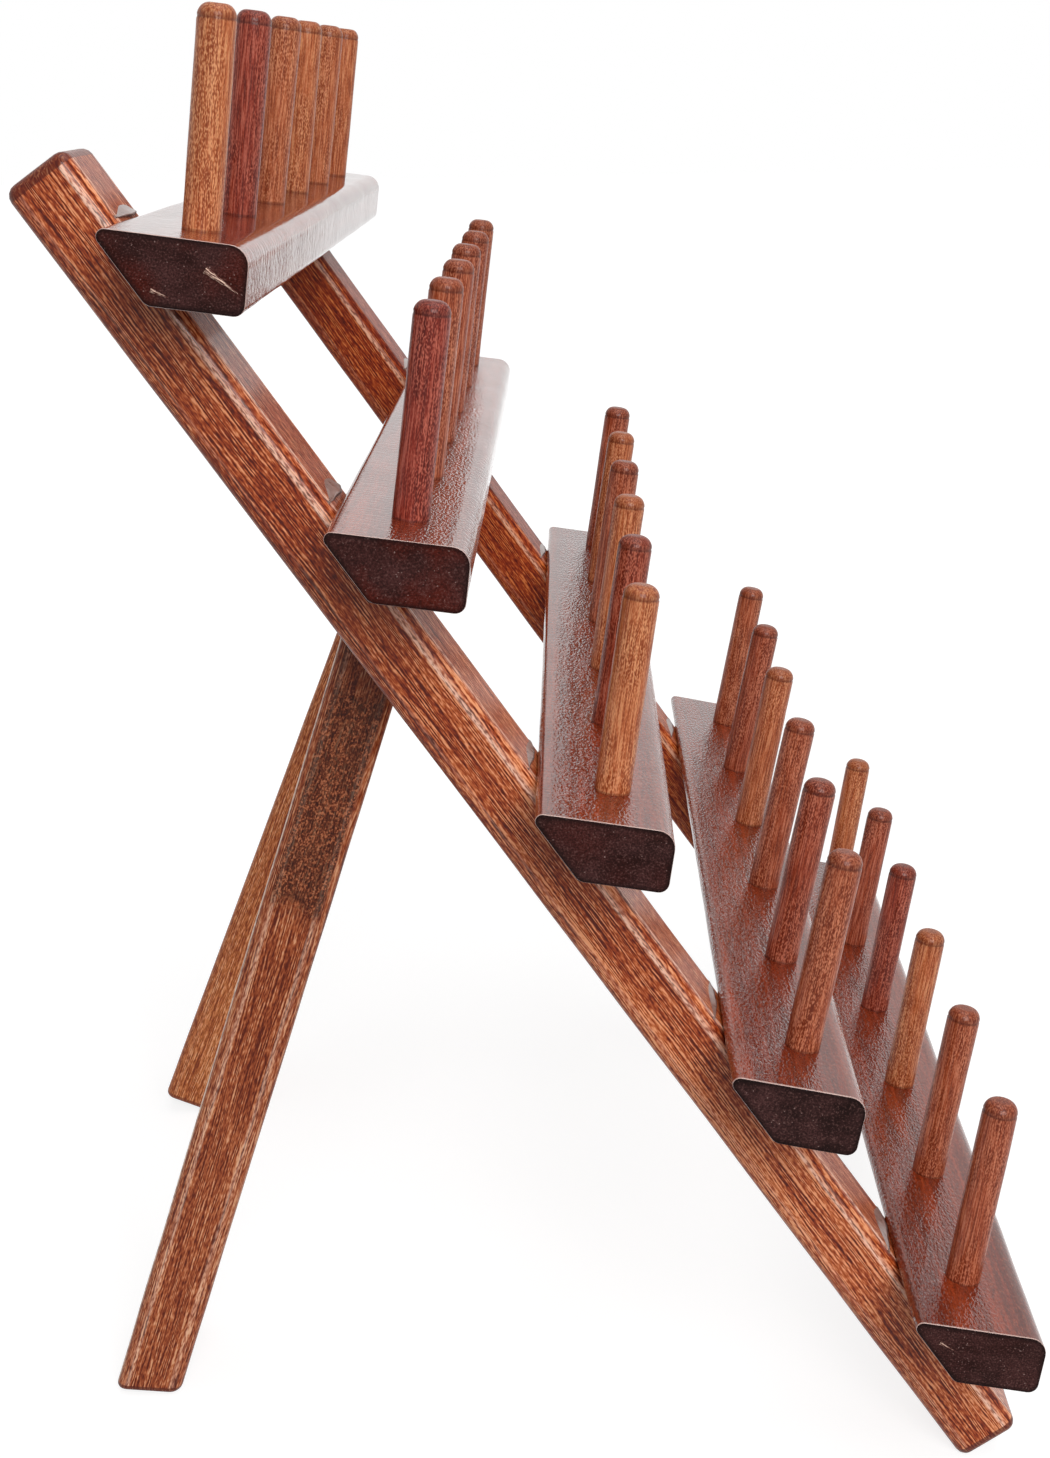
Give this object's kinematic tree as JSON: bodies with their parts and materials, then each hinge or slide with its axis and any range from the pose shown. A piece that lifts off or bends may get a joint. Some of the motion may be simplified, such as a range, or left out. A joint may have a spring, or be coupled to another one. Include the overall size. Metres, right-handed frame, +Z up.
{
  "type": "thread rack",
  "caption": "Folding wooden thread rack: sloping shelves of upright spool pegs on two leaning rails, propped by two legs that fold in between the rails.",
  "frame": {"origin": "centre of the base of the open rack's bounding box, on the floor", "axes": "+Z up; -Y the front, towards which the shelves and pegs slope; X along the shelves, -X the left end"},
  "size_m": [0.265, 0.2076, 0.2936],
  "materials": {
    "rail_wood": "satin varnish",
    "shelf_wood": "gloss varnish",
    "peg_wood": "satin varnish",
    "leg_wood": "satin varnish",
    "screw_steel": "zinc plated",
    "washer_steel": "zinc plated"
  },
  "bodies": {
    "frame": {"left_rail": "rail_wood", "right_rail": "rail_wood", "shelf_1": "shelf_wood", "shelf_2": "shelf_wood", "shelf_3": "shelf_wood", "shelf_4": "shelf_wood", "shelf_5": "shelf_wood", "peg_1_1": "peg_wood", "peg_1_2": "peg_wood", "peg_1_3": "peg_wood", "peg_1_4": "peg_wood", "peg_1_5": "peg_wood", "peg_1_6": "peg_wood", "peg_2_1": "peg_wood", "peg_2_2": "peg_wood", "peg_2_3": "peg_wood", "peg_2_4": "peg_wood", "peg_2_5": "peg_wood", "peg_2_6": "peg_wood", "peg_3_1": "peg_wood", "peg_3_2": "peg_wood", "peg_3_3": "peg_wood", "peg_3_4": "peg_wood", "peg_3_5": "peg_wood", "peg_3_6": "peg_wood", "peg_4_1": "peg_wood", "peg_4_2": "peg_wood", "peg_4_3": "peg_wood", "peg_4_4": "peg_wood", "peg_4_5": "peg_wood", "peg_4_6": "peg_wood", "peg_5_1": "peg_wood", "peg_5_2": "peg_wood", "peg_5_3": "peg_wood", "peg_5_4": "peg_wood", "peg_5_5": "peg_wood", "peg_5_6": "peg_wood", "left_pivot_screw": "screw_steel", "right_pivot_screw": "screw_steel", "left_shelf_screws": "screw_steel", "right_shelf_screws": "screw_steel", "left_pivot_washers": "washer_steel", "right_pivot_washers": "washer_steel"},
    "left_leg": {"left_leg": "leg_wood"},
    "right_leg": {"right_leg": "leg_wood"}
  },
  "joints": [
    {"name": "left_leg_fold", "type": "hinge", "parent": "frame", "child": "left_leg", "pos_m": [-0.0698, 0.02416, 0.1801], "axis": [-1, 0, 0], "range_deg": [0, 53.1]},
    {"name": "right_leg_fold", "type": "hinge", "parent": "frame", "child": "right_leg", "pos_m": [0.0698, 0.02552, 0.18207], "axis": [-1, 0, 0], "range_deg": [0, 56.6]}
  ]
}
